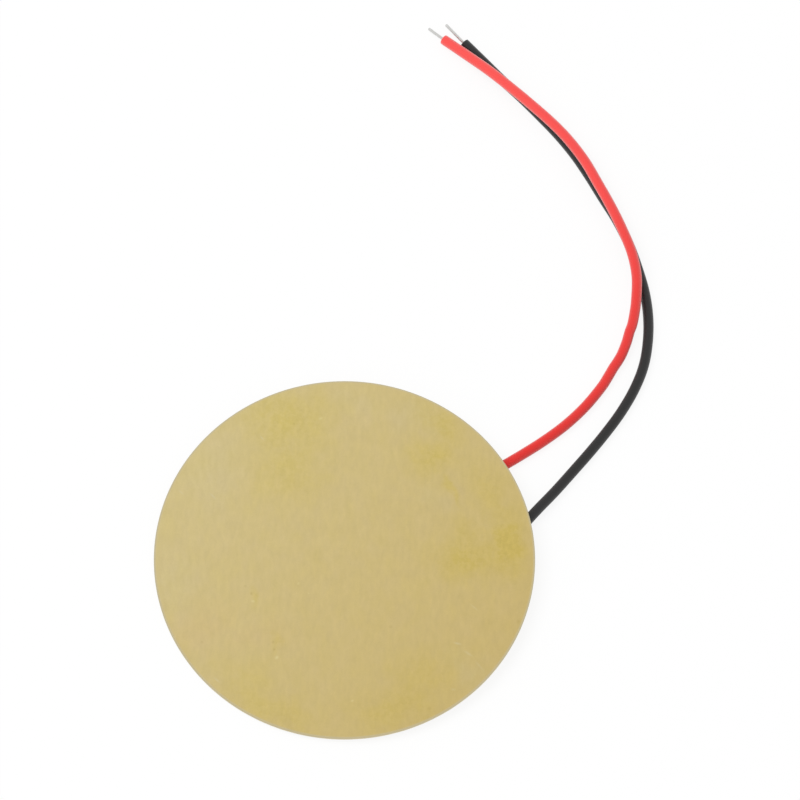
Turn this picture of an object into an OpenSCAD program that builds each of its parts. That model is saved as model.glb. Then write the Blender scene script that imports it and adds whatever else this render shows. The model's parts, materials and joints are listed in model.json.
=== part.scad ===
// Piezo disc: a round brass plate with a silvered ceramic disc glued to its underside, a red lead
// soldered to the silver and a black lead soldered to the brass.
// It lies brass side up as it comes to rest, leaning a little: on the ceramic's rim at -X and on the
// red lead's solder joint at +X. The origin is on the resting surface under the plate's centre.

/* [Plate] */
// Diameter of the brass plate
plate_d = 12; // [11.8:0.1:12.6]
// Thickness of the brass plate
plate_t = 0.10; // [0.09:0.01:0.12]
// Radius rolled onto the plate's upper edge by the punch
edge_roll = 0.03; // [0.01:0.01:0.04]

/* [Ceramic] */
// Diameter of the ceramic disc
ceramic_d = 9; // [8.8:0.1:9.1]
// Thickness of the ceramic disc
ceramic_t = 0.10; // [0.10:0.01:0.14]

/* [Silver and glue] */
// Diameter of the silver printed on the ceramic's outer face
outer_silver_d = 8; // [7.9:0.1:8.4]
// Diameter of the silver printed on the ceramic's glued face
inner_silver_d = 8.8; // [8.2:0.1:8.8]
// Thickness of each silver print
silver_t = 0.012; // [0.010:0.001:0.015]
// Thickness of the glue film
glue_t = 0.012; // [0.010:0.001:0.020]
// Width of the glue squeezed out round the ceramic
glue_rim = 0.10; // [0.05:0.01:0.12]

/* [Solder joints] */
// Radius of a joint's dome where it meets its base
joint_r = 0.45; // [0.40:0.01:0.50]
// Height of a joint
joint_h = 0.38; // [0.36:0.01:0.42]
// Spread of the concave foot round the dome
joint_foot = 0.08; // [0.05:0.01:0.10]
// Height of the concave foot
joint_foot_h = 0.09; // [0.06:0.01:0.12]
// Distance of the red lead's joint from the plate's centre
red_joint_at = 3.35; // [3.25:0.05:3.40]
// Angle round the plate from the red joint to the black one
black_joint_angle = -26; // [-27:0.5:-25]

/* [Leads] */
// Diameter over a lead's insulation
lead_d = 0.33; // [0.30:0.01:0.33]
// Diameter of a lead's tinned wire
wire_d = 0.09; // [0.07:0.01:0.10]
// Length stripped at the free end of the red lead
red_bare = 0.64; // [0.40:0.01:1.00]
// Length stripped at the free end of the black lead
black_bare = 0.88; // [0.40:0.01:1.00]

/* [Hidden] */

brass = [0.80, 0.73, 0.49];
glue = [0.62, 0.55, 0.38];
ceramic = [0.66, 0.61, 0.52];
silver = [0.86, 0.86, 0.84];
solder = [0.74, 0.75, 0.77];
red_pvc = [0.88, 0.18, 0.16];
black_pvc = [0.11, 0.10, 0.10];
tinned_copper = [0.80, 0.80, 0.78];

// Heights of the layers' faces from the middle of the plate's thickness, going down
plate_under = -plate_t / 2;
glue_under = plate_under - glue_t;
inner_silver_under = glue_under - silver_t;
ceramic_under = inner_silver_under - ceramic_t;
outer_silver_under = ceramic_under - silver_t;

// The dome of a joint is the cap of a ball
ball_r = (joint_r * joint_r + joint_h * joint_h) / (2 * joint_h);
ball_down = joint_h - ball_r;

// The black lead's joint stands midway across the bare ring of brass
black_joint_at = (ceramic_d / 2 + glue_rim + plate_d / 2) / 2;

// Lean at which the ceramic's rim and the red joint's ball touch the resting surface together,
// and the height of the plate's centre in that lean
reach = red_joint_at + ceramic_d / 2;
drop = silver_t + ball_down;
lean_angle = asin(ball_r / norm([reach, drop])) + atan2(drop, reach);
centre_h = ceramic_d / 2 * sin(lean_angle) - ceramic_under * cos(lean_angle);

// The leads are eight-sided tubes. Their flats are as far apart as the lead is wide, and the flats
// of the wire's passage stand just clear of the round wire.
SIDES = 8;
lead_corner = lead_d / 2 / cos(180 / SIDES);
wire_corner = wire_d / 2 / cos(180 / SIDES) * 1.03;

// The red wire enters its joint here, and its insulation follows the route: out under the rim,
// over the black lead with two slight kinks before it, and down again beyond it
red_start = [3.35, 0, 0.165];
red_route = [
    [4.30, -0.01, 0.165], [5.15, -0.01, 0.165], [6.00, -0.02, 0.165], [6.85, -0.03, 0.165],
    [7.70, -0.01, 0.165], [8.55, 0.07, 0.165], [9.41, 0.25, 0.165], [10.21, 0.52, 0.165],
    [10.59, 0.70, 0.165], [10.92, 0.87, 0.17], [11.15, 0.97, 0.18], [11.40, 1.10, 0.20],
    [11.73, 1.33, 0.24], [11.91, 1.48, 0.27], [12.05, 1.60, 0.30], [12.23, 1.73, 0.33],
    [12.49, 1.99, 0.38], [12.80, 2.35, 0.445], [13.26, 3.00, 0.505], [13.59, 3.75, 0.515],
    [13.80, 4.60, 0.515], [13.95, 5.45, 0.515], [14.06, 6.35, 0.515], [14.15, 7.25, 0.515],
    [14.13, 8.16, 0.515], [14.01, 9.00, 0.515], [13.82, 9.85, 0.515], [13.59, 10.75, 0.515],
    [13.36, 11.61, 0.47], [13.11, 12.46, 0.36], [12.84, 13.39, 0.21],
];

// The black wire enters its joint here, and its insulation comes down to the resting surface
black_start = [4.70, -2.30, 0.38];
black_route = [
    [5.40, -2.09, 0.33], [6.10, -1.88, 0.28], [6.90, -1.66, 0.21], [7.75, -1.40, 0.165],
    [8.60, -1.14, 0.165], [9.45, -0.85, 0.165], [10.25, -0.53, 0.165], [11.04, -0.12, 0.165],
    [11.76, 0.39, 0.165], [12.36, 1.02, 0.165], [12.86, 1.72, 0.165], [13.26, 2.50, 0.165],
    [13.56, 3.35, 0.165], [13.80, 4.20, 0.165], [13.95, 5.10, 0.165], [14.01, 5.95, 0.165],
    [14.08, 6.85, 0.165], [14.11, 7.72, 0.165], [14.06, 8.60, 0.165], [13.94, 9.50, 0.165],
    [13.80, 10.35, 0.165], [13.63, 11.19, 0.165], [13.48, 12.10, 0.165], [13.34, 12.94, 0.165],
];

// Where each lead's bare end points as it leaves the insulation
red_bare_way = [-0.27, 0.96, -0.10];
black_bare_way = [-0.145, 0.99, 0];

// ---- Routes and tubes ----

function unit(v) = v / norm(v);

// Direction of a route at one of its points: the mean of the stretches before and after it
function heading(route, i) =
    let(last = len(route) - 1)
    unit(
        (i > 0 ? unit(route[i] - route[i - 1]) : [0, 0, 0])
        + (i < last ? unit(route[i + 1] - route[i]) : [0, 0, 0])
    );

// Corners of the tube's section at a point of its route, with a flat at the bottom
function ring(route, i, corner) =
    let(along = heading(route, i), side = unit(cross(along, [0, 0, 1])), up = cross(side, along))
    [
        for (k = [0:SIDES - 1])
            let(a = (k + 0.5) * 360 / SIDES)
            route[i] + corner * (cos(a) * side + sin(a) * up)
    ];

function rings(route, corner) = [for (i = [0:len(route) - 1]) each ring(route, i, corner)];

// The two triangles of each face of a tube's wall, seen from outside the tube
function wall(count) = [
    for (i = [0:count - 2], k = [0:SIDES - 1])
        let(a = i * SIDES + k, b = i * SIDES + (k + 1) % SIDES)
        each [[a, b, b + SIDES], [a, b + SIDES, a + SIDES]]
];

function shifted(faces, by) = [for (f = faces) [for (p = f) p + by]];
function reversed(faces) = [for (f = faces) [for (k = [len(f) - 1:-1:0]) f[k]]];

// Solid eight-sided rod along a route
module swept_rod(route, corner) {
    last = (len(route) - 1) * SIDES;
    caps = [[for (k = [SIDES - 1:-1:0]) k], [for (k = [0:SIDES - 1]) last + k]];
    polyhedron(rings(route, corner), concat(wall(len(route)), caps));
}

// Eight-sided sleeve along a route, with a passage of the same form
module swept_sleeve(route, outer_corner, inner_corner) {
    inner = len(route) * SIDES;
    last = inner - SIDES;
    start_end = [
        for (k = [0:SIDES - 1])
            let(n = (k + 1) % SIDES)
            [n, k, inner + k, inner + n]
    ];
    polyhedron(
        concat(rings(route, outer_corner), rings(route, inner_corner)),
        concat(
            wall(len(route)),
            shifted(reversed(wall(len(route))), inner),
            start_end,
            shifted(reversed(start_end), last)
        )
    );
}

// Straight round wire from a point towards another
module straight_wire(start, target, length) {
    along = unit(target - start);
    translate(start)
        rotate([0, acos(along.z), atan2(along.y, along.x)])
        cylinder(h = length, d = wire_d, $fn = 32);
}

// Stretch of wire between its end in the solder and its insulation
module wire_at_joint(start, route) {
    straight_wire(start, route[0], norm(route[0] - start) + wire_d / 2);
}

// A whole wire: round at both bare ends, and filling the passage inside the insulation. The free
// end starts just inside the passage.
module lead_wire(start, route, way, bare) {
    inside = 0.01;
    end = route[len(route) - 1];
    union() {
        wire_at_joint(start, route);
        swept_rod(route, wire_corner);
        straight_wire(end - inside * unit(way), end + way, bare + inside);
    }
}

// ---- The disc ----

// Puts what is drawn about the plate's centre into the resting lean
module leaning() {
    translate([0, 0, centre_h]) rotate([0, -lean_angle, 0]) children();
}

// Round layer from its underside up
module layer(d, under, t) {
    translate([0, 0, under]) cylinder(h = t, d = d, $fn = 128);
}

// Punched blank, with its upper edge rolled over
module plate_blank() {
    r = plate_d / 2;
    top = plate_t / 2;
    rolled = [
        for (a = [0:15:90])
            [r - edge_roll + edge_roll * cos(a), top - edge_roll + edge_roll * sin(a)]
    ];
    rotate_extrude($fn = 128)
        polygon(concat([[0, -top], [r, -top]], rolled, [[0, top]]));
}

// Film under the plate that fills the ring round the inner silver and turns up the ceramic's edge
module glue_film() {
    r = ceramic_d / 2;
    turned_up = glue_rim / 2;
    fillet = [
        for (a = [90:-15:0])
            [
                r + glue_rim * (1 - cos(a)),
                plate_under - (glue_t + silver_t + turned_up) * (1 - sin(a))
            ]
    ];
    rotate_extrude($fn = 128)
        polygon(concat(
            [[0, glue_under], [0, plate_under]],
            fillet,
            [
                [r, inner_silver_under],
                [inner_silver_d / 2, inner_silver_under],
                [inner_silver_d / 2, glue_under],
            ]
        ));
}

// Solder dome hanging from a face of the disc, with a concave foot where the solder wetted it
module solder_dome(at, base) {
    edge = joint_r + joint_foot;
    neck = sqrt(ball_r * ball_r - pow(ball_down - joint_foot_h, 2)) - 0.005;
    foot = [
        for (a = [0:15:90])
            [edge - (edge - neck) * sin(a), joint_foot_h * (1 - cos(a))]
    ];
    translate([at.x, at.y, base]) mirror([0, 0, 1]) {
        intersection() {
            translate([0, 0, ball_down]) sphere(r = ball_r, $fn = 64);
            cylinder(h = 2 * joint_h, r = 2 * ball_r, $fn = 64);
        }
        rotate_extrude($fn = 64) polygon(concat([[0, 0]], foot, [[0, joint_foot_h]]));
    }
}

module brass_plate() {
    color(brass) leaning() plate_blank();
}

module glue_layer() {
    color(glue) leaning() glue_film();
}

module inner_silver() {
    color(silver) leaning() layer(inner_silver_d, inner_silver_under, silver_t);
}

module ceramic_disc() {
    color(ceramic) leaning() layer(ceramic_d, ceramic_under, ceramic_t);
}

module outer_silver() {
    color(silver) leaning() layer(outer_silver_d, outer_silver_under, silver_t);
}

module red_solder_joint() {
    color(solder) difference() {
        leaning() solder_dome([red_joint_at, 0], outer_silver_under);
        wire_at_joint(red_start, red_route);
    }
}

module black_solder_joint() {
    at = black_joint_at * [cos(black_joint_angle), sin(black_joint_angle)];
    color(solder) difference() {
        leaning() solder_dome(at, plate_under);
        wire_at_joint(black_start, black_route);
    }
}

// ---- The leads ----

module red_insulation() {
    color(red_pvc) swept_sleeve(red_route, lead_corner, wire_corner);
}

module red_wire() {
    color(tinned_copper) lead_wire(red_start, red_route, red_bare_way, red_bare);
}

module black_insulation() {
    color(black_pvc) swept_sleeve(black_route, lead_corner, wire_corner);
}

module black_wire() {
    color(tinned_copper) lead_wire(black_start, black_route, black_bare_way, black_bare);
}

brass_plate();
glue_layer();
inner_silver();
ceramic_disc();
outer_silver();
red_solder_joint();
black_solder_joint();
red_insulation();
red_wire();
black_insulation();
black_wire();
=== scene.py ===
"""Piezo disc: a round brass plate with a silvered ceramic disc glued beneath it, and two soldered leads.

It lies brass side up, leaning a little on its red solder joint. Lengths are written in mm, and MM turns them
into metres.
"""

import json
from bisect import bisect
from math import acos, asin, cos, degrees, exp, pi, radians, sin, sqrt

import bmesh
import bpy
from mathutils import Matrix, Vector, noise
from mathutils.geometry import interpolate_bezier


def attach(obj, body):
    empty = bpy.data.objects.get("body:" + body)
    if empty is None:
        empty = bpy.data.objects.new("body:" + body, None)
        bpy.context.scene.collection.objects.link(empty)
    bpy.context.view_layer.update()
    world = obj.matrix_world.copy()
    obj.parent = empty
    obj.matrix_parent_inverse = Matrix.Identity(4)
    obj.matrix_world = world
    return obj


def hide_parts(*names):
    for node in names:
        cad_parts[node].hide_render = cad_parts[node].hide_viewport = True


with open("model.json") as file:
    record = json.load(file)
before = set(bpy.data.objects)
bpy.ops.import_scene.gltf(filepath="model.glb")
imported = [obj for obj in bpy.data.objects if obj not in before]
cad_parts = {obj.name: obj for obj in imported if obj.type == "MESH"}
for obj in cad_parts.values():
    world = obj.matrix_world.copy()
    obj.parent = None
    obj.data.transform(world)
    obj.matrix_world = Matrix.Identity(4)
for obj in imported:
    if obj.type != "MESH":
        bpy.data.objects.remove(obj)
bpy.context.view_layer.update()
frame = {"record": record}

MM = 0.001
TURN = 2 * pi
# Vertices closer than this, in metres, are one
MERGE = 1e-8

# ---- Sizes, as the solids have them, in mm ----

PLATE_R = 6.0
PLATE_T = 0.10
EDGE_ROLL = 0.03
CERAMIC_R = 4.5
CERAMIC_T = 0.10
OUTER_SILVER_R = 4.0
INNER_SILVER_R = 4.4
SILVER_T = 0.012
GLUE_T = 0.012
GLUE_RIM = 0.10
JOINT_R = 0.45
JOINT_H = 0.38
FOOT_SPREAD = 0.08
FOOT_H = 0.09
LEAD_R = 0.165
WIRE_R = 0.045
BORE_R = 0.049
RED_BARE = 0.64
BLACK_BARE = 0.88

# Heights of the layers' faces from the middle of the plate's thickness, going down
PLATE_UNDER = -PLATE_T / 2
GLUE_UNDER = PLATE_UNDER - GLUE_T
INNER_SILVER_UNDER = GLUE_UNDER - SILVER_T
CERAMIC_UNDER = INNER_SILVER_UNDER - CERAMIC_T
OUTER_SILVER_UNDER = CERAMIC_UNDER - SILVER_T

# Centres of the joints in the plate's own frame
RED_JOINT = (3.35, 0.0)
BLACK_JOINT = (4.7636, -2.3234)

# Routes of the leads on the resting surface
RED_START = (3.35, 0.0, 0.165)
RED_ROUTE = [
    (4.30, -0.01, 0.165), (5.15, -0.01, 0.165), (6.00, -0.02, 0.165), (6.85, -0.03, 0.165),
    (7.70, -0.01, 0.165), (8.55, 0.07, 0.165), (9.41, 0.25, 0.165), (10.21, 0.52, 0.165),
    (10.59, 0.70, 0.165), (10.92, 0.87, 0.17), (11.15, 0.97, 0.18), (11.40, 1.10, 0.20),
    (11.73, 1.33, 0.24), (11.91, 1.48, 0.27), (12.05, 1.60, 0.30), (12.23, 1.73, 0.33),
    (12.49, 1.99, 0.38), (12.80, 2.35, 0.445), (13.26, 3.00, 0.505), (13.59, 3.75, 0.515),
    (13.80, 4.60, 0.515), (13.95, 5.45, 0.515), (14.06, 6.35, 0.515), (14.15, 7.25, 0.515),
    (14.13, 8.16, 0.515), (14.01, 9.00, 0.515), (13.82, 9.85, 0.515), (13.59, 10.75, 0.515),
    (13.36, 11.61, 0.47), (13.11, 12.46, 0.36), (12.84, 13.39, 0.21),
]
BLACK_START = (4.70, -2.30, 0.38)
BLACK_ROUTE = [
    (5.40, -2.09, 0.33), (6.10, -1.88, 0.28), (6.90, -1.66, 0.21), (7.75, -1.40, 0.165),
    (8.60, -1.14, 0.165), (9.45, -0.85, 0.165), (10.25, -0.53, 0.165), (11.04, -0.12, 0.165),
    (11.76, 0.39, 0.165), (12.36, 1.02, 0.165), (12.86, 1.72, 0.165), (13.26, 2.50, 0.165),
    (13.56, 3.35, 0.165), (13.80, 4.20, 0.165), (13.95, 5.10, 0.165), (14.01, 5.95, 0.165),
    (14.08, 6.85, 0.165), (14.11, 7.72, 0.165), (14.06, 8.60, 0.165), (13.94, 9.50, 0.165),
    (13.80, 10.35, 0.165), (13.63, 11.19, 0.165), (13.48, 12.10, 0.165), (13.34, 12.94, 0.165),
]

# Where each lead's bare end points as it leaves the insulation
RED_BARE_WAY = (-0.27, 0.96, -0.10)
BLACK_BARE_WAY = (-0.145, 0.99, 0.0)

# The plate's lean and the middle of its thickness, from the mount on its brass face
face = next(m for m in frame["record"]["mounts"] if m["name"] == "brass_face")
LEAN = asin(-face["axis"][0])
PLATE_CENTRE = Vector(face["pos_m"]) - Vector(face["axis"]) * PLATE_T / 2 * MM
LEANING = Matrix.Translation(PLATE_CENTRE) @ Matrix.Rotation(-LEAN, 4, "Y")

# Direction in which the strip was rolled, in the plate's frame: its pattern's own Y axis
ROLLING_TURN = radians(-35)


# ---- Camera ----

# A long lens, in mm, for little perspective
LENS = 354.7
SENSOR = 36
CAMERA_AZIMUTH = radians(-40.51)
CAMERA_ELEVATION = radians(66.79)
CAMERA_ROLL = radians(7.13)
# What it looks at, in mm, and from how far, in metres
CAMERA_AIM = (4.427, 3.469, 0.669)
CAMERA_FAR = 0.25


def make_camera():
    """Looks down on the disc from the front left."""
    turn = Matrix.Rotation(CAMERA_AZIMUTH, 4, "Z") @ Matrix.Rotation(pi / 2 - CAMERA_ELEVATION, 4, "X")
    turn = turn @ Matrix.Rotation(CAMERA_ROLL, 4, "Z")
    backwards = turn.col[2].to_3d()
    camera = bpy.data.objects.new("camera", bpy.data.cameras.new("camera"))
    camera.data.lens = LENS
    camera.data.sensor_width = SENSOR
    camera.data.clip_start = 0.01
    camera.matrix_world = Matrix.Translation(Vector(CAMERA_AIM) * MM + backwards * CAMERA_FAR) @ turn
    bpy.context.scene.collection.objects.link(camera)
    bpy.context.scene.camera = camera


# ---- Nodes of a material ----

# Settings that many nodes share
COLOURS = {"data_type": "RGBA"}
TINTING = {"data_type": "RGBA", "blend_type": "MULTIPLY"}
SOFT = {"interpolation_type": "SMOOTHSTEP"}
TIMES = {"operation": "MULTIPLY"}
PLACED = {"vector_type": "TEXTURE"}
# How far a mark reaches into the metal, in mm: less than the plate's thickness, so it stays on its own face
MARK_DEEP = 0.06


def linear(hex_colour):
    """An sRGB hex colour as the linear colour that shaders work in."""
    channels = [int(hex_colour[i:i + 2], 16) / 255 for i in (1, 3, 5)]
    return tuple(c / 12.92 if c <= 0.04045 else ((c + 0.055) / 1.055) ** 2.4 for c in channels) + (1,)


def add(tree, kind, inputs=(), **settings):
    """Adds a node with its settings. Its inputs are listed in order, or given by name, and those that the
    settings switch off don't count. A node or a socket is linked, and any other value is set."""
    node = tree.nodes.new("ShaderNode" + kind)
    for name, value in settings.items():
        setattr(node, name, value)
    sockets = [socket for socket in node.inputs if socket.enabled]
    if isinstance(inputs, dict):
        by_name = {socket.name: socket for socket in sockets}
        sockets, inputs = [by_name[name] for name in inputs], inputs.values()
    for socket, value in zip(sockets, inputs):
        if isinstance(value, bpy.types.Node):
            value = next(output for output in value.outputs if output.enabled)
        if isinstance(value, bpy.types.NodeSocket):
            tree.links.new(value, socket)
        else:
            socket.default_value = value
    return node


def new_material(name):
    """An empty material of that name, and its node tree."""
    material = bpy.data.materials.new(name)
    material.use_nodes = True
    material.node_tree.nodes.clear()
    return material, material.node_tree


def dress(tree, constants, colour, roughness, relief, depth):
    """Adds the shader with its constant values and its patterns. The relief is that many mm deep."""
    normal = add(tree, "Bump", {"Height": relief, "Strength": 1.0, "Distance": depth * MM})
    patterns = {"Base Color": colour, "Roughness": roughness, "Normal": normal}
    add(tree, "OutputMaterial", [add(tree, "BsdfPrincipled", constants | patterns)])


def in_plate_mm(tree):
    """Object coordinates in mm, in the plate's own leaning frame, with Y along the strip's rolling."""
    place = LEANING @ Matrix.Rotation(ROLLING_TURN, 4, "Z")
    own = add(tree, "TexCoord").outputs["Object"]
    return add(tree, "Mapping", [own, place.to_translation(), place.to_euler(), (MM, MM, MM)], **PLACED)


def along_lead_mm(tree):
    """The lead's own coordinates in mm, as if it were pulled straight along Z."""
    straight = add(tree, "Attribute", attribute_name="straight").outputs["Vector"]
    return add(tree, "Mapping", {"Vector": straight, "Scale": (MM, MM, MM)}, **PLACED)


def grain(tree, vector, size, detail=2.0, seed=0.0, rough=0.5):
    """Noise whose features are about size mm, which may differ along X, Y and Z."""
    sizes = size if isinstance(size, tuple) else (size,) * 3
    shift = (seed, seed * 0.7, seed * 0.3)
    placed = add(tree, "Mapping", {"Vector": vector, "Location": shift, "Scale": sizes}, **PLACED)
    return add(tree, "TexNoise", {"Vector": placed, "Scale": 1.0, "Detail": detail, "Roughness": rough})


def wandering(tree, vector, size, reach):
    """The vector pushed about in X and Y by up to half of reach, in waves of that size, in mm.
    What is drawn with it gets a ragged outline."""
    placed = add(tree, "Mapping", {"Vector": vector, "Scale": (size,) * 3}, **PLACED)
    waves = add(tree, "TexNoise", {"Vector": placed, "Scale": 1.0, "Detail": 4.0}).outputs["Color"]
    centred = add(tree, "VectorMath", [vector, (reach / 2, reach / 2, 0)], operation="SUBTRACT")
    return add(tree, "VectorMath", [waves, (reach, reach, 0), centred], operation="MULTIPLY_ADD")


def from_axis(tree, vector):
    """Distance from the Z axis of a vector."""
    flat = add(tree, "VectorMath", [vector, (1, 1, 0)], **TIMES)
    return add(tree, "VectorMath", [flat], operation="LENGTH")


def mark(tree, vector, x, y, turn, half_length, half_width, height=PLATE_T / 2, hard=0.0):
    """A soft oval patch on one face, 0 outside and 1 in its middle, out to that hard share of its radius.
    Its length is along its own X."""
    place, turned, size = (x, y, height), (0, 0, radians(turn)), (half_length, half_width, MARK_DEEP)
    placed = add(tree, "Mapping", [vector, place, turned, size], **PLACED)
    far = add(tree, "VectorMath", [placed], operation="LENGTH")
    return add(tree, "MapRange", [far, 1.0, hard], **SOFT)


def strongest(tree, values):
    """The largest of several values."""
    top = values[0]
    for value in values[1:]:
        top = add(tree, "Math", [top, value], operation="MAXIMUM")
    return top


def patches(tree, vector, places):
    """Several soft ovals on the brass face, each as strong as it is listed."""
    ovals = [(mark(tree, vector, *place), strength) for *place, strength in places]
    return strongest(tree, [add(tree, "Math", pair, **TIMES) for pair in ovals])


def strength_of(tree, parts):
    """1 plus the sum of (value - 0.5) x amount, for parts of (value, amount)."""
    total = 1.0 - sum(amount for _, amount in parts) / 2
    for value, amount in parts:
        total = add(tree, "Math", [value, amount, total], operation="MULTIPLY_ADD")
    return total


def between(tree, value, low, high, first, second):
    """A colour that turns softly from the first to the second as the value rises from low to high."""
    share = add(tree, "MapRange", [value, low, high], **SOFT)
    return add(tree, "Mix", [share, linear(first), linear(second)], **COLOURS)


def covered(tree, colour, where, amount, cover):
    """The colour with another laid over it, by that amount where the pattern is 1."""
    share = add(tree, "Math", [where, amount], **TIMES)
    return add(tree, "Mix", [share, colour, cover], **COLOURS)


# ---- Materials ----

# Stains and marks on the brass face in its pattern's frame, in mm:
# x, y, turn in degrees, half length, half width, strength
TARNISH = [
    (-1.9, 4.7, 0, 2.3, 1.7, 0.9), (-1.8, 3.1, 90, 2.0, 1.7, 0.75), (2.9, 4.7, -50, 1.4, 0.8, 0.8),
    (2.7, 3.5, 0, 1.1, 1.0, 0.9), (4.7, 2.0, -70, 2.2, 1.0, 0.6), (5.1, 0.4, 90, 1.4, 0.9, 1.5),
    (3.8, 0.9, 90, 1.0, 0.8, 0.6), (3.9, 0.2, 0, 2.0, 1.2, 1.0), (2.6, -3.9, 30, 1.8, 1.4, 0.55),
    (1.7, -4.9, 15, 2.2, 1.2, 0.72), (-2.2, -5.0, -25, 2.6, 0.9, 0.65), (-2.7, -4.1, 0, 0.8, 0.8, 0.4),
    (-3.5, -3.8, -40, 1.2, 0.8, 0.25), (-2.9, -1.35, 90, 0.65, 0.3, 0.75), (3.2, 2.3, -57, 0.9, 0.18, 0.9),
    (-2.2, -3.0, 90, 0.55, 0.25, 0.6),
]
HAZE = [
    (-4.2, 2.7, 80, 2.2, 1.5, 0.5), (-5.3, -0.7, 90, 1.6, 1.2, 0.5), (0.2, 5.2, 0, 1.3, 0.9, 0.4),
    (2.0, 4.9, 0, 1.3, 0.8, 0.6), (4.1, -3.7, -45, 1.5, 0.9, 0.9), (2.75, 2.1, -57, 1.0, 0.4, 0.6),
]
BLUSH = [(-4.5, -2.4, 40, 1.7, 1.3, 0.8), (-2.6, -2.7, 0, 1.9, 0.8, 0.5)]
RUBS = [
    (3.6, -2.77, -12, 0.18, 0.06, 1.0), (3.95, -3.1, -35, 0.24, 0.06, 0.8), (4.3, -3.5, -50, 0.35, 0.05, 0.5),
    (4.1, -1.55, -40, 0.25, 0.04, 0.7), (-2.7, 4.0, -50, 0.15, 0.04, 1.2), (-4.2, 2.0, -45, 0.2, 0.05, 1.2),
    (-5.2, 2.1, -40, 0.15, 0.04, 1.0), (-3.9, -4.15, -42, 0.2, 0.05, 1.0), (3.5, -4.3, 0, 0.12, 0.07, 0.6),
]
NICKS = [
    (-0.86, 4.7, 20, 0.10, 0.07, 0.8), (-2.84, -1.5, 0, 0.10, 0.07, 0.8), (-2.05, -3.36, 60, 0.10, 0.08, 1.0),
    (-1.43, -0.88, 60, 0.08, 0.05, 0.6), (-1.1, -1.2, 0, 0.05, 0.05, 0.5), (0.35, -4.74, 30, 0.08, 0.05, 0.8),
]
PITS = [
    (-3.1, -1.0, 0, 0.07, 0.06, 0.7), (-2.9, -1.25, 0, 0.06, 0.09, 1.0), (-2.18, -2.85, 0, 0.06, 0.09, 0.9),
    (-2.14, -3.1, 0, 0.06, 0.08, 1.0), (1.5, -2.26, 0, 0.10, 0.07, 0.7), (-4.4, -2.9, 0, 0.07, 0.06, 0.7),
    (-1.7, 4.5, 0, 0.06, 0.06, 0.8), (2.75, -4.95, 0, 0.10, 0.08, 0.8), (5.5, -2.0, 0, 0.08, 0.10, 0.8),
]

# What each stain takes from or adds to red, green and blue
TARNISH_TINT = (1.005, 0.995, 0.70, 1)
HAZE_TINT = (0.985, 1.015, 1.13, 1)
BLUSH_TINT = (1.01, 0.98, 1.02, 1)
YELLOWER = (1.0, 1.0, 0.90, 1)
GREYER = (1.0, 1.0, 1.10, 1)
# Marks, how far each hides the brass, its colour, and its relief, which is sunk where negative
MARKS = [(RUBS, 0.42, "#D3C7A0", -1.0), (PITS, 0.22, "#96803A", -2.0), (NICKS, 0.4, "#E6DCA6", -2.0)]


def stained_brass(tree, mm, ragged, streaks):
    """The sheet's colour under its stains, with painted light across it, and a pattern of the tarnish's
    darkest specks.
    """
    # Painted light: the sheet is paler and greyer towards the camera's upper left and a barer yellow towards
    # the lower right, as if lit more strongly from the upper left
    painted_light_slope = add(tree, "VectorMath", [mm, (-0.84, 0.54, 0.0)], operation="DOT_PRODUCT")
    share = add(tree, "MapRange", [painted_light_slope, -7.0, 7.0])
    colour = add(tree, "Mix", [share, linear("#C6B074"), linear("#D0BF8A")], **COLOURS)
    # The tarnish is speckled at 0.13 mm, and the haze follows the rolling streaks
    specks = grain(tree, mm, 0.13, seed=13.0, rough=0.6)
    speckled = add(tree, "MapRange", [specks, 0.4, 0.6, 0.73, 1.0], **SOFT)
    tarnish = add(tree, "Math", [patches(tree, ragged, TARNISH), speckled], **TIMES)
    streaked = add(tree, "MapRange", [streaks, 0.35, 0.65, 0.6, 1.0], **SOFT)
    haze = add(tree, "Math", [patches(tree, ragged, HAZE), streaked], **TIMES)
    blush = patches(tree, ragged, BLUSH)
    # The whole sheet turns between yellow and grey, in clouds 0.5 to 0.8 mm across
    clouds = grain(tree, mm, (0.5, 0.8, 0.6), seed=11.0, rough=0.6)
    cast = add(tree, "Mix", [clouds, GREYER, YELLOWER], **COLOURS)
    for amount, tint in ((tarnish, TARNISH_TINT), (haze, HAZE_TINT), (blush, BLUSH_TINT), (1.0, cast)):
        colour = add(tree, "Mix", [amount, colour, tint], **TINTING)
    dark = add(tree, "MapRange", [specks, 0.4, 0.6], **SOFT)
    return colour, add(tree, "Math", [tarnish, dark], **TIMES)


def scuffed_brass(tree, mm, colour):
    """The colour with the rubs, pits and nicks on it, and their parts of the relief."""
    relief = []
    for places, hiding, shown, height in MARKS:
        where = patches(tree, mm, places)
        colour = covered(tree, colour, where, hiding, linear(shown))
        relief.append((where, height))
    return colour, relief


def rolled_edge(tree, mm, colour):
    """The colour with the edge's own over its outermost 0.09 mm, and a pattern of where that is. It is duller
    and greyer where the edge is rolled, and paler down the wall, where a reflection is painted in."""
    rim = add(tree, "MapRange", [from_axis(tree, mm), PLATE_R - 0.09, PLATE_R - 0.01], **SOFT)
    level = add(tree, "SeparateXYZ", [mm]).outputs["Z"]
    # Painted reflection: the wall's paler colour stands in for the bright surroundings that it mirrors
    edge = between(tree, level, PLATE_T / 2 - EDGE_ROLL / 2, 0.0, "#C7BD9E", "#E0D6B8")
    return covered(tree, colour, rim, 0.8, edge), rim


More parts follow.
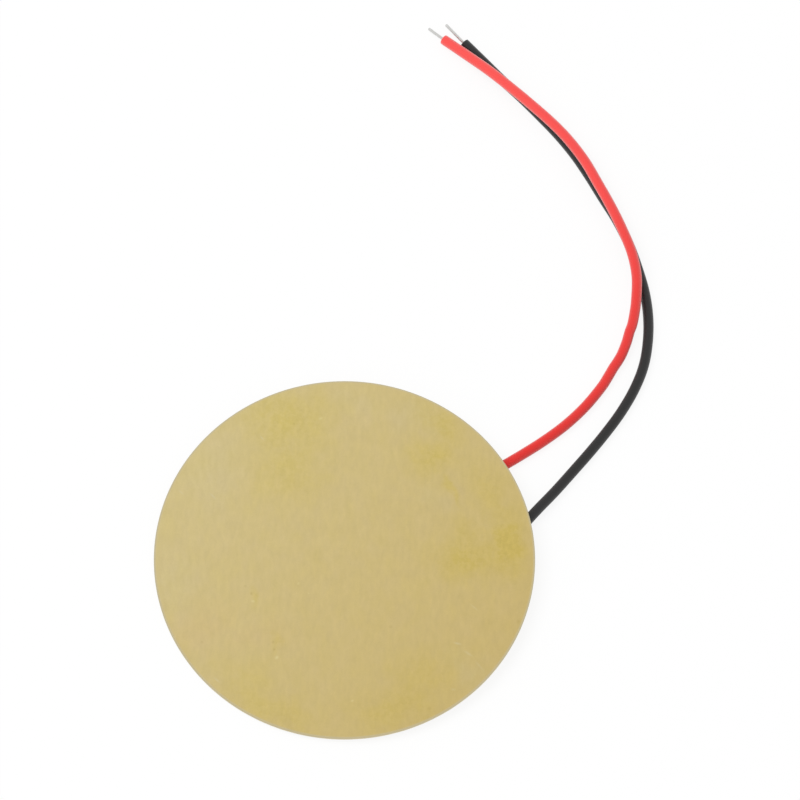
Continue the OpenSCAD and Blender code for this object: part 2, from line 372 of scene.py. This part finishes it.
def cold_rolled_brass():
    """Cold-rolled brass strip, punched: a satin, pale yellow metal with a fine mottle drawn out along the
    rolling, yellower where it has tarnished and paler under a haze, a few nicks and a duller rolled edge."""
    material, tree = new_material("cold_rolled_brass")
    mm = in_plate_mm(tree)
    ragged = wandering(tree, mm, 1.2, 1.6)
    # Mottle from 0.5 mm down to 0.015 mm, a little longer along the rolling
    mottle = grain(tree, mm, (0.40, 0.48, 0.45), detail=5.0, seed=3.0, rough=0.9)
    # Rolling streaks 0.15 mm wide and 0.45 mm long, and broader ones 0.3 mm wide and 4 mm long
    streaks = grain(tree, mm, (0.15, 0.45, 1.0), seed=3.0, rough=0.6)
    broad_streaks = grain(tree, ragged, (0.3, 4.0, 1.0), seed=5.0)
    # Crystal grain of the sheet, drawn at 0.05 mm so that it shows
    crystals = grain(tree, mm, (0.045, 0.06, 0.05), seed=7.0, rough=0.6)
    colour, dark_specks = stained_brass(tree, mm, ragged, streaks)
    tone = strength_of(tree, [(mottle, 0.16), (streaks, 0.12), (broad_streaks, 0.04), (crystals, 0.07),
                              (dark_specks, -0.042)])
    colour = add(tree, "Mix", [1.0, colour, tone], **TINTING)
    colour, marks = scuffed_brass(tree, mm, colour)
    colour, rim = rolled_edge(tree, mm, colour)
    satin = add(tree, "Math", [mottle, 0.12, 0.30], operation="MULTIPLY_ADD")
    roughness = strongest(tree, [satin, add(tree, "Math", [rim, 0.55], **TIMES)])
    relief = strength_of(tree, [(streaks, 0.5), (crystals, 0.4), (mottle, 0.5)] + marks)
    dress(tree, {"Metallic": 1.0}, colour, roughness, relief, 0.0012)
    return material


def cured_epoxy():
    """Cured epoxy: a glossy amber bead with tiny bubbles, darker where it is thick."""
    material, tree = new_material("cured_epoxy")
    mm = in_plate_mm(tree)
    flow = grain(tree, mm, 0.9, detail=3.0, seed=2.0)
    colour = between(tree, flow, 0.3, 0.7, "#8E7438", "#B7A063")
    # Bubbles 0.02 to 0.04 mm across, about one in every 0.12 mm
    cells = add(tree, "TexVoronoi", {"Vector": mm, "Scale": 1 / 0.12})
    bubbles = add(tree, "MapRange", [cells, 0.17, 0.10], **SOFT)
    colour = covered(tree, colour, bubbles, 0.5, linear("#D8CCA0"))
    roughness = add(tree, "MapRange", [flow, 0.2, 0.8, 0.12, 0.26], **SOFT)
    relief = add(tree, "Math", [bubbles, 0.3, flow], operation="MULTIPLY_ADD")
    dress(tree, {"IOR": 1.55, "Coat Weight": 0.3}, colour, roughness, relief, 0.006)
    return material


def screen_mesh(tree, mm):
    """The faint grid that the threads of the printing screen leave, 0.08 mm apart."""
    # A wave texture's own bands are TURN / 20 apart
    threads = {"Vector": mm, "Scale": TURN / 20 / 0.08, "Distortion": 0.6, "Detail": 1.0, "Detail Scale": 2.0}
    waves = [add(tree, "TexWave", threads, bands_direction=axis).outputs["Fac"] for axis in ("X", "Y")]
    return add(tree, "Math", waves, **TIMES)


def fired_silver_print():
    """Silver paste, screen-printed and fired: a matt, slightly creamy white metal with the print's mesh
    faintly in it, a thinner edge and a brownish halo of flux round the joint."""
    material, tree = new_material("fired_silver_print")
    mm = in_plate_mm(tree)
    clouds = grain(tree, mm, 1.2, detail=4.0, seed=21.0)
    colour = between(tree, clouds, 0.3, 0.7, "#D5D1C7", "#E1DED8")
    # Fired powder, drawn at 0.035 mm so that it shows
    powder = grain(tree, mm, 0.035, detail=3.0, seed=5.0, rough=0.65)
    powdery = add(tree, "Math", [powder, 0.35, 0.8], operation="MULTIPLY_ADD")
    colour = add(tree, "Mix", [0.5, colour, powdery], **TINTING)
    # Flux halo about 1 mm round the middle of the joint
    x, y = Matrix.Rotation(-ROLLING_TURN, 2) @ Vector(RED_JOINT)
    halo = mark(tree, mm, x, y, 0, 1.05, 0.95, height=OUTER_SILVER_UNDER, hard=0.4)
    colour = covered(tree, colour, halo, 0.35, linear("#B08D4E"))
    # Tarnish that creeps in by 0.35 mm from the print's edge
    edge = add(tree, "MapRange", [from_axis(tree, mm), OUTER_SILVER_R - 0.35, OUTER_SILVER_R], **SOFT)
    uneven = add(tree, "MapRange", [clouds, 0.35, 0.65, 0.1, 0.5], **SOFT)
    colour = covered(tree, colour, edge, uneven, linear("#A89B7C"))
    mesh = add(tree, "Math", [screen_mesh(tree, mm), 0.5], **TIMES)
    relief = add(tree, "Math", [powder, 0.6, mesh], operation="MULTIPLY_ADD")
    roughness = add(tree, "MapRange", [powder, 0.2, 0.8, 0.42, 0.62], **SOFT)
    dress(tree, {"Metallic": 1.0}, colour, roughness, relief, 0.003)
    return material


def fired_piezo_ceramic():
    """Piezo ceramic, pressed and fired: matt, warm beige-grey, with fine grains and scattered pores darkened
    with painted shade.
    """
    material, tree = new_material("fired_piezo_ceramic")
    mm = in_plate_mm(tree)
    clouds = grain(tree, mm, 1.6, detail=3.0, seed=31.0)
    colour = between(tree, clouds, 0.3, 0.7, "#9C8F77", "#B7AA90")
    # Fired grains of a few thousandths of a mm, drawn at 0.03 mm so that they show
    grains = grain(tree, mm, 0.03, detail=3.0, seed=1.0, rough=0.7)
    grainy = add(tree, "Math", [grains, 0.5, 0.72], operation="MULTIPLY_ADD")
    colour = add(tree, "Mix", [0.6, colour, grainy], **TINTING)
    # Pores about 0.03 mm across, about one in every 0.16 mm, sunk in the relief and darkened with painted
    # shade
    cells = add(tree, "TexVoronoi", {"Vector": mm, "Scale": 1 / 0.16})
    pores_with_painted_shade = add(tree, "MapRange", [cells, 0.12, 0.06], **SOFT)
    colour = covered(tree, colour, pores_with_painted_shade, 0.6, linear("#5F5544"))
    relief = add(tree, "Math", [pores_with_painted_shade, -1.5, grains], operation="MULTIPLY_ADD")
    roughness = add(tree, "MapRange", [grains, 0.2, 0.8, 0.62, 0.82], **SOFT)
    dress(tree, {"IOR": 1.6}, colour, roughness, relief, 0.004)
    return material


def set_tin_solder():
    """Tin solder as it set: bright and silvery, with soft frosted patches where it froze last."""
    material, tree = new_material("set_tin_solder")
    mm = in_plate_mm(tree)
    frost = grain(tree, mm, 0.16, detail=4.0, seed=4.0, rough=0.6)
    colour = between(tree, frost, 0.35, 0.65, "#A9ADB2", "#D2D4D6")
    # Crystal boundaries about 0.13 mm apart, soft and uneven
    uneven = {"Vector": wandering(tree, mm, 0.1, 0.06), "Scale": 1 / 0.13}
    cells = add(tree, "TexVoronoi", uneven, feature="DISTANCE_TO_EDGE")
    boundaries = add(tree, "MapRange", [cells, 0.16, 0.0], **SOFT)
    frosted = add(tree, "MapRange", [frost, 0.35, 0.65], **SOFT)
    seams = add(tree, "Math", [boundaries, frosted], **TIMES)
    colour = covered(tree, colour, seams, 0.2, linear("#8F9297"))
    relief = add(tree, "Math", [seams, -0.2, frost], operation="MULTIPLY_ADD")
    roughness = add(tree, "MapRange", [frost, 0.35, 0.7, 0.14, 0.36], **SOFT)
    dress(tree, {"Metallic": 1.0}, colour, roughness, relief, 0.004)
    return material


def extruded_pvc(name, soldered, free, roughness, bloom):
    """Soft PVC, extruded as a lead's insulation: satin, with faint die lines along it, slow changes of
    tone and a bloom of softener and fine dust, which makes its edges paler. Its colour is darker towards
    the soldered end: painted shade, standing in for the light that is weaker near the disc."""
    material, tree = new_material(name)
    mm = along_lead_mm(tree)
    # Die lines about 0.035 mm wide and 4 mm long
    lines = grain(tree, mm, (0.035, 0.035, 4.0), seed=3.0)
    tone = grain(tree, mm, (0.3, 0.3, 1.6), seed=8.0)
    # Orange peel of the cooled skin, 0.04 mm
    skin = grain(tree, mm, 0.04, seed=6.0)
    along = add(tree, "SeparateXYZ", [mm]).outputs["Z"]
    shade = strength_of(tree, [(lines, 0.10), (skin, 0.08), (tone, 0.10)])
    # It turns from the soldered end's darker colour, which is painted shade, to the other between 3 and 19 mm
    # along the sleeve
    colour = add(tree, "Mix", [1.0, between(tree, along, 3.0, 19.0, soldered, free), shade], **TINTING)
    satin = add(tree, "MapRange", [skin, 0.2, 0.8, roughness - 0.06, roughness + 0.08], **SOFT)
    relief = strength_of(tree, [(lines, 0.6), (skin, 0.5)])
    constants = {"IOR": 1.5, "Specular IOR Level": 0.33, "Sheen Weight": bloom, "Sheen Roughness": 0.55}
    dress(tree, constants, colour, satin, relief, 0.0025)
    return material


def tinned_copper():
    """Tinned copper strands, twisted and dipped: dull silvery, with painted shade that makes it a little
    darker in the grooves.
    """
    material, tree = new_material("tinned_copper")
    mm = along_lead_mm(tree)
    tin = grain(tree, mm, (0.02, 0.02, 0.12), detail=3.0, seed=2.0)
    colour = between(tree, tin, 0.3, 0.7, "#D4D4D2", "#DEDEDC")
    # Painted shade in the grooves, from the strands' crests in to the tin between them
    groove_painted_shade = add(tree, "MapRange", [from_axis(tree, mm), WIRE_R - 0.0002, WIRE_R - 0.0018], **SOFT)
    colour = covered(tree, colour, groove_painted_shade, 0.15, linear("#8C8880"))
    roughness = add(tree, "MapRange", [tin, 0.2, 0.8, 0.42, 0.54], **SOFT)
    dress(tree, {"Metallic": 1.0}, colour, roughness, tin, 0.0006)
    return material


# ---- Shapes ----

# Faces that meet at more than this keep a sharp edge between them
SHARP = radians(50)


def piece(name, bm, material, node):
    """Makes a finished bmesh a piece that shows in place of its CAD node."""
    mesh = bpy.data.meshes.new(name)
    for surface in bm.faces:
        surface.smooth = True
    bm.to_mesh(mesh)
    bm.free()
    mesh.set_sharp_from_angle(angle=SHARP)
    mesh.materials.append(material)
    made = bpy.data.objects.new(name, mesh)
    bpy.context.scene.collection.objects.link(made)
    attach(made, "root")
    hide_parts(node)


def spun(section, steps):
    """Closed round solid from a section of (radius, height) points in mm, from the axis back to the axis."""
    bm = bmesh.new()
    points = [bm.verts.new((r * MM, 0, h * MM)) for r, h in section]
    edges = [bm.edges.new(pair) for pair in zip(points, points[1:])]
    bmesh.ops.spin(bm, geom=points + edges, cent=(0, 0, 0), axis=(0, 0, 1), dvec=(0, 0, 0),
                   angle=TURN, steps=steps, use_merge=True, use_normal_flip=False, use_duplicate=False)
    bmesh.ops.remove_doubles(bm, verts=bm.verts[:], dist=MERGE)
    bmesh.ops.recalc_face_normals(bm, faces=bm.faces[:])
    return bm


def arc(centre_r, centre_h, radius, start, end, steps):
    """Points of an arc in a section, in mm and degrees."""
    turns = [radians(start + (end - start) * i / steps) for i in range(steps + 1)]
    return [(centre_r + radius * cos(a), centre_h + radius * sin(a)) for a in turns]


def lean(bm):
    """Puts what was made about the plate's centre into its resting lean."""
    bmesh.ops.transform(bm, matrix=LEANING, verts=bm.verts[:])


def wavy(vert, waves_per_mm, seed):
    """Smooth noise from -1 to 1 at a vertex that is still in the plate's frame."""
    return noise.noise(vert.co / MM * waves_per_mm + Vector((seed, seed, seed)))


# The plate's punched wall, in mm: how high its rough break begins, how far that tapers in, how far the burr
# hangs down, and how far both are torn in, and up and down
BREAK_FROM = -0.012
BREAK_IN = 0.004
BURR_H = 0.006
TORN_IN = 0.004
TORN_H = 0.003


def make_plate(brass):
    """Punched blank: its upper edge rolled over, the lower part of its wall torn, and a fine burr below."""
    top, r = PLATE_T / 2, PLATE_R
    section = [(x, top) for x in (0, 0.5, 1.5, 3.0, 4.5, 5.4, 5.8, r - EDGE_ROLL - 0.012)]
    section += arc(r - EDGE_ROLL, top - EDGE_ROLL, EDGE_ROLL, 90, 0, 6)
    # Down the wall, round the burr and back in along the underside
    section += [(r, BREAK_FROM), (r - BREAK_IN, -top + 0.012)]
    section += [(r - 0.003, -top - 0.004), (r - 0.008, -top - BURR_H), (r - 0.02, -top), (r - 0.05, -top)]
    section += [(x, -top) for x in (5.6, 4.9, 4.6, 3.0, 1.0, 0)]
    bm = spun(section, 192)
    # Only the break and the burr are torn
    for vert in bm.verts:
        flat = Vector((vert.co.x, vert.co.y, 0))
        if flat.length / MM > r - 0.02 and vert.co.z < -0.01 * MM:
            vert.co -= flat.normalized() * TORN_IN * MM * max(0, wavy(vert, 6.0, seed=3.0))
            vert.co.z += TORN_H * MM * wavy(vert, 9.0, seed=8.0)
    lean(bm)
    piece("plate", bm, brass, "brass_plate")


def make_glue(epoxy):
    """Film under the plate, with the bead that was squeezed out turned up the ceramic's edge."""
    turned_up = GLUE_RIM / 2
    reach = PLATE_UNDER - INNER_SILVER_UNDER + turned_up
    fillet = [(CERAMIC_R + GLUE_RIM * (1 - cos(radians(a))), PLATE_UNDER - reach * (1 - sin(radians(a))))
              for a in range(90, -1, -10)]
    section = [(0, PLATE_UNDER), (2.2, PLATE_UNDER), (CERAMIC_R, PLATE_UNDER)] + fillet
    section += [(CERAMIC_R, INNER_SILVER_UNDER), (INNER_SILVER_R, INNER_SILVER_UNDER),
                (INNER_SILVER_R, GLUE_UNDER), (0, GLUE_UNDER)]
    bm = spun(section, 256)
    for vert in bm.verts:
        flat = Vector((vert.co.x, vert.co.y, 0))
        out = flat.length / MM - CERAMIC_R
        if out > 0.001:
            # The bead runs wider and narrower round the ceramic
            swell = 0.35 * wavy(vert, 0.9, seed=5.0) + 0.15 * wavy(vert, 3.5, seed=2.0)
            vert.co += flat.normalized() * out * swell * MM
    lean(bm)
    piece("glue", bm, epoxy, "glue_layer")


def make_layer(name, node, material, radius, top, bottom, soften, ragged):
    """Flat round layer with softened edges, its outline ragged by about that much inwards."""
    section = [(0, top), (radius * 0.5, top), (radius - soften * 3, top)]
    section += arc(radius - soften, top - soften, soften, 90, 0, 3)
    section += arc(radius - soften, bottom + soften, soften, 0, -90, 3)
    section += [(radius - soften * 3, bottom), (radius * 0.5, bottom), (0, bottom)]
    bm = spun(section, 384)
    for vert in bm.verts:
        flat = Vector((vert.co.x, vert.co.y, 0))
        if flat.length / MM > radius - soften * 2:
            bite = 0.5 + 0.35 * wavy(vert, 1.4, seed=7.0) + 0.35 * wavy(vert, 9.0, seed=4.0)
            vert.co -= flat.normalized() * ragged * max(0, bite) * MM
    lean(bm)
    piece(name, bm, material, node)


# The solder's foot wets the face unevenly and its dome is off round, by these shares of its radius
UNEVEN_FOOT = 0.05
OFF_ROUND = 0.03
# The shoulder that it draws out along the wire, in mm: where it begins, how far it climbs, and how wide it is
CLIMB_FROM = 0.10
CLIMB = 0.24
CLIMB_R = 0.11


def dome_section():
    """Section of a joint: a dome that ends in a concave foot."""
    ball = (JOINT_R ** 2 + JOINT_H ** 2) / (2 * JOINT_H)
    ball_h = JOINT_H - ball
    neck = sqrt(ball ** 2 - (FOOT_H - ball_h) ** 2)
    edge = JOINT_R + FOOT_SPREAD
    dome_end = 90 - degrees(acos((FOOT_H - ball_h) / ball))
    foot = [radians(a) for a in range(78, -1, -13)]
    section = arc(0, ball_h, ball, 90, dome_end, 26)
    section += [(edge - (edge - neck) * sin(a), FOOT_H * (1 - cos(a))) for a in foot]
    return section + [(0, 0)]


def make_joint(name, at, base, wire_from, wire_to, solder, node):
    """Solder dome hanging from a face of the disc, with a shoulder drawn out along the wire."""
    bm = spun(dome_section(), 96)
    for vert in bm.verts:
        height = vert.co.z / MM
        flat = Vector((vert.co.x, vert.co.y, 0))
        # The foot's waves die out 0.3 mm from the face, and the dome's come in over its first 0.1 mm
        wet = UNEVEN_FOOT * wavy(vert, 1.6, seed=3.0) * max(0, 1 - height / 0.3)
        vert.co += flat * wet
        vert.co -= flat * OFF_ROUND * (0.5 + 0.5 * wavy(vert, 2.4, seed=9.0)) * min(1, height / 0.1)
    hang = Matrix.Translation(Vector((at[0], at[1], base)) * MM) @ Matrix.Rotation(pi, 4, "X")
    bmesh.ops.transform(bm, matrix=LEANING @ hang, verts=bm.verts[:])
    start, along = Vector(wire_from) * MM, (Vector(wire_to) - Vector(wire_from)).normalized()
    for vert in bm.verts:
        away = vert.co - start
        aside = (away - along * away.dot(along)).length / MM
        if away.dot(along) > CLIMB_FROM * MM:
            vert.co += along * CLIMB * MM * exp(-(aside / CLIMB_R) ** 2)
    piece(name, bm, solder, node)


# ---- Leads ----

# Stretches of curve from one point of a route to the next
STEPS = 6
# Length of one ring of faces of a sleeve and of a wire, in mm
SLEEVE_STEP = 0.10
WIRE_STEP = 0.06


def smooth_line(points, lowest):
    """One smooth curve through the points, in metres, never lower than the lead lies.
    Returns points of it, STEPS of them from each given one to the next, and its end."""
    nodes = [Vector(p) * MM for p in points]
    first, last = nodes[0] * 2 - nodes[1], nodes[-1] * 2 - nodes[-2]
    padded = [first] + nodes + [last]
    line = []
    for before, a, b, after in zip(padded, padded[1:], padded[2:], padded[3:]):
        line += interpolate_bezier(a, a + (b - before) / 6, b - (after - a) / 6, b, STEPS + 1)[:-1]
    line.append(nodes[-1])
    return [Vector((p.x, p.y, max(p.z, lowest * MM))) for p in line]


def stations(line):
    """Place of a section at each point of the curve, without twist, and how far along each one is."""
    ends = [line[0] * 2 - line[1]] + line + [line[-1] * 2 - line[-2]]
    ways = [(after - before).normalized() for before, after in zip(ends, ends[2:])]
    turn = Vector((0, 0, 1)).rotation_difference(ways[0])
    placed, reached = [], [0.0]
    for i, point in enumerate(line):
        if i:
            turn = ways[i - 1].rotation_difference(ways[i]) @ turn
            reached.append(reached[-1] + (point - line[i - 1]).length)
        placed.append(Matrix.Translation(point) @ turn.to_matrix().to_4x4())
    return placed, reached


def circle(bm, radius, sides):
    """Edges of a ring about the origin, in order."""
    made = bmesh.ops.create_circle(bm, cap_ends=False, radius=radius * MM, segments=sides)
    return list(dict.fromkeys(edge for vert in made["verts"] for edge in vert.link_edges))


def draw_out(bm, ring, length, scale=1.0, cuts=0):
    """Extrudes a ring of edges that far along Z, in mm, scaled about the axis, in cuts + 1 stretches.
    Returns the ring at its end."""
    grown = bmesh.ops.extrude_edge_only(bm, edges=ring)["geom"]
    verts = [g for g in grown if isinstance(g, bmesh.types.BMVert)]
    bmesh.ops.scale(bm, vec=(scale, scale, 1), verts=verts)
    bmesh.ops.translate(bm, vec=(0, 0, length * MM), verts=verts)
    new = set(verts)
    ring = [g for g in grown if isinstance(g, bmesh.types.BMEdge) and new.issuperset(g.verts)]
    if cuts:
        drawn = [edge for vert in verts for edge in vert.link_edges if edge not in ring]
        bmesh.ops.subdivide_edges(bm, edges=drawn, cuts=cuts)
    return ring


def lay(bm, line):
    """Bends what was made straight up Z onto the curve, and notes on each vertex where it was."""
    layer = bm.verts.layers.float_vector.new("straight")
    placed, reached = stations(line)
    for vert in bm.verts:
        vert[layer] = vert.co
        far = vert.co.z
        i = min(max(bisect(reached, far), 1), len(placed) - 1)
        share = (far - reached[i - 1]) / (reached[i] - reached[i - 1])
        section = Vector((vert.co.x, vert.co.y, 0))
        vert.co = (placed[i - 1] @ section).lerp(placed[i] @ section, share)


def make_sleeve(name, line, pvc, node):
    """Extruded sleeve with a round bore, cut square at both ends and softened a little by the blade."""
    # Radius and distance from the cut: the blade leaves a corner about 0.015 mm round
    corner = [(LEAD_R - 0.015, 0.0), (LEAD_R - 0.007, 0.004), (LEAD_R, 0.015)]
    total = stations(line)[1][-1] / MM
    middle = total - 2 * corner[-1][1]
    sides = 32
    bm = bmesh.new()
    outer, inner = circle(bm, corner[0][0], sides), circle(bm, BORE_R, sides)
    bmesh.ops.bridge_loops(bm, edges=outer + inner)
    for (r, at), (next_r, next_at) in zip(corner, corner[1:]):
        outer = draw_out(bm, outer, next_at - at, next_r / r)
    cuts = int(middle / SLEEVE_STEP)
    outer = draw_out(bm, outer, middle, 1.0, cuts)
    inner = draw_out(bm, inner, total, 1.0, cuts)
    for (r, at), (next_r, next_at) in zip(corner[::-1], corner[-2::-1]):
        outer = draw_out(bm, outer, at - next_at, next_r / r)
    bmesh.ops.bridge_loops(bm, edges=outer + inner)
    bmesh.ops.recalc_face_normals(bm, faces=bm.faces[:])
    lay(bm, line)
    piece(name, bm, pvc, node)


# A wire's strands, in mm: how many lie round the middle one, how far along they take a whole turn, how far
# out tin fills the grooves between them, and how long the bead at the tip is
RIDGES = 6
STRAND_TURN = 0.9
TIN_R = WIRE_R * 0.96
BEAD = 0.11
# The bead, back to front: distance from the tip, and radius compared with the wire's
NOSE = [(BEAD, 1.0), (0.09, 1.06), (0.07, 1.13), (0.05, 1.16), (0.035, 1.12), (0.02, 0.95),
        (0.01, 0.72), (0.003, 0.4), (0.0, 0.05)]


def draw_in_to_strands(bm):
    """Draws a ring of the wire's radius in to the outline of its strands, with tin in the grooves."""
    strand = WIRE_R / 3
    for vert in bm.verts:
        angle = vert.co.xy.angle_signed(Vector((1, 0)), 0)
        off = (angle % (TURN / RIDGES)) - pi / RIDGES
        out = 2 * strand * cos(off) + sqrt(max(0, strand ** 2 - (2 * strand * sin(off)) ** 2))
        vert.co *= max(out, TIN_R) / WIRE_R


def make_wire(name, line, node, tin):
    """Six strands twisted round a seventh and dipped in tin, as one rod with six rounded ridges.
    Its free end carries a small bead."""
    total = stations(line)[1][-1] / MM
    bm = bmesh.new()
    ring = circle(bm, WIRE_R, 48)
    draw_in_to_strands(bm)
    bmesh.ops.contextual_create(bm, geom=ring)
    ring = draw_out(bm, ring, total - BEAD, 1.0, int(total / WIRE_STEP))
    for (at, size), (next_at, next_size) in zip(NOSE, NOSE[1:]):
        ring = draw_out(bm, ring, at - next_at, next_size / size)
    bmesh.ops.contextual_create(bm, geom=ring)
    for vert in bm.verts:
        vert.co.rotate(Matrix.Rotation(TURN * vert.co.z / (STRAND_TURN * MM), 3, "Z"))
    bmesh.ops.recalc_face_normals(bm, faces=bm.faces[:])
    lay(bm, line)
    piece(name, bm, tin, node)


def make_lead(colour, start, route, bare, bare_way, pvc, tin):
    """A lead: its sleeve along the route, and its wire from the solder to the free tip."""
    # The wire starts in the solder, and the sleeve at the route's first point
    through = smooth_line([start] + route, LEAD_R)
    make_sleeve(colour + "_sleeve", through[STEPS:], pvc, colour + "_insulation")
    end, way = through[-1], Vector(bare_way).normalized()
    leaving = (end - through[-2]).normalized()
    third = bare / 3 * MM
    free = interpolate_bezier(end, end + leaving * third, end + way * 2 * third, end + way * 3 * third, 7)
    make_wire(colour + "_strands", through + free[1:], colour + "_wire", tin)


# ---- Studio ----

WHITE = (1, 1, 1, 1)
PAPER = (0.98, 0.98, 0.98, 1)
# Half of the floor's side, in metres
FLOOR_HALF = 1.5
# How much of what is seen of the floor is plain white, the rest being lit paper with the shadow on it
FLOOR_GLOW = 0.88
# Brightness of the world's light on the object, where 1 is white
WORLD_LEVEL = 0.64
# Middle of the disc and its leads, which the lamp faces, in mm
LAMP_AIM = (6, 5, 0)


def seen_plainly(tree):
    """1 for what the camera sees straight, in a metal or through glass, and 0 for the light on the object."""
    path = add(tree, "LightPath")
    return strongest(tree, [path.outputs[ray] for ray in (
        "Is Camera Ray", "Is Glossy Ray", "Is Transmission Ray")])


def make_floor():
    """White floor that keeps a faint shadow and otherwise shows as plain white."""
    bm = bmesh.new()
    bmesh.ops.create_grid(bm, x_segments=1, y_segments=1, size=FLOOR_HALF)
    mesh = bpy.data.meshes.new("floor")
    bm.to_mesh(mesh)
    bm.free()
    floor = bpy.data.objects.new("floor", mesh)
    bpy.context.scene.collection.objects.link(floor)
    material, tree = new_material("white_paper_floor")
    paper = add(tree, "BsdfDiffuse", {"Color": PAPER})
    glow = add(tree, "Emission", [WHITE, 1.0])
    share = add(tree, "Math", [seen_plainly(tree), FLOOR_GLOW], **TIMES)
    add(tree, "OutputMaterial", [add(tree, "MixShader", [share, paper, glow])])
    mesh.materials.append(material)


def make_world():
    """Even white light from all round, which is seen as plain white."""
    world = bpy.data.worlds.new("studio")
    bpy.context.scene.world = world
    world.use_nodes = True
    tree = world.node_tree
    tree.nodes.clear()
    level = add(tree, "Math", [seen_plainly(tree), 1.0 - WORLD_LEVEL, WORLD_LEVEL], operation="MULTIPLY_ADD")
    add(tree, "OutputWorld", [add(tree, "Background", [WHITE, level])])


def make_lamp(name, towards, distance, size, level):
    """Square softbox in that direction from the disc, facing it, with its distance and size in metres.
    Level is its brightness, where 1 is white."""
    light = bpy.data.lights.new(name, "AREA")
    light.shape = "SQUARE"
    light.size = size
    light.energy = level * pi * size ** 2
    lamp = bpy.data.objects.new(name, light)
    away = Vector(towards).normalized()
    turn = away.to_track_quat("Z", "Y").to_matrix().to_4x4()
    lamp.matrix_world = Matrix.Translation(Vector(LAMP_AIM) * MM + away * distance) @ turn
    # Metal shows the even white sky and not this lamp, which would burn out in it
    lamp.visible_glossy = False
    bpy.context.scene.collection.objects.link(lamp)


# ---- Making ----

bpy.context.scene.view_settings.view_transform = "Standard"
make_camera()

tin = tinned_copper()
solder = set_tin_solder()
silver = fired_silver_print()
# The soldered ends' colours are darker: painted shade near the disc
red_pvc = extruded_pvc("red_extruded_pvc", soldered="#E01F18", free="#F74C48", roughness=0.42, bloom=0.45)
black_pvc = extruded_pvc("black_extruded_pvc", soldered="#191818", free="#1C1B1C", roughness=0.46, bloom=0.2)
make_lead("red", RED_START, RED_ROUTE, RED_BARE, RED_BARE_WAY, red_pvc, tin)
make_lead("black", BLACK_START, BLACK_ROUTE, BLACK_BARE, BLACK_BARE_WAY, black_pvc, tin)

make_plate(cold_rolled_brass())
make_glue(cured_epoxy())
make_layer("glued_silver", "inner_silver", silver,
           INNER_SILVER_R, GLUE_UNDER, INNER_SILVER_UNDER, soften=0.002, ragged=0.0)
make_layer("ceramic", "ceramic_disc", fired_piezo_ceramic(),
           CERAMIC_R, INNER_SILVER_UNDER, CERAMIC_UNDER, soften=0.008, ragged=0.010)
make_layer("soldered_silver", "outer_silver", silver,
           OUTER_SILVER_R, CERAMIC_UNDER, OUTER_SILVER_UNDER, soften=0.004, ragged=0.03)
make_joint("red_joint", RED_JOINT, OUTER_SILVER_UNDER, RED_START, RED_ROUTE[0], solder, "red_solder_joint")
make_joint("black_joint", BLACK_JOINT, PLATE_UNDER, BLACK_START, BLACK_ROUTE[0], solder, "black_solder_joint")

make_floor()
make_world()
make_lamp("key_above_left", towards=(-0.35, 0.29, 0.89), distance=0.60, size=0.40, level=3.5)
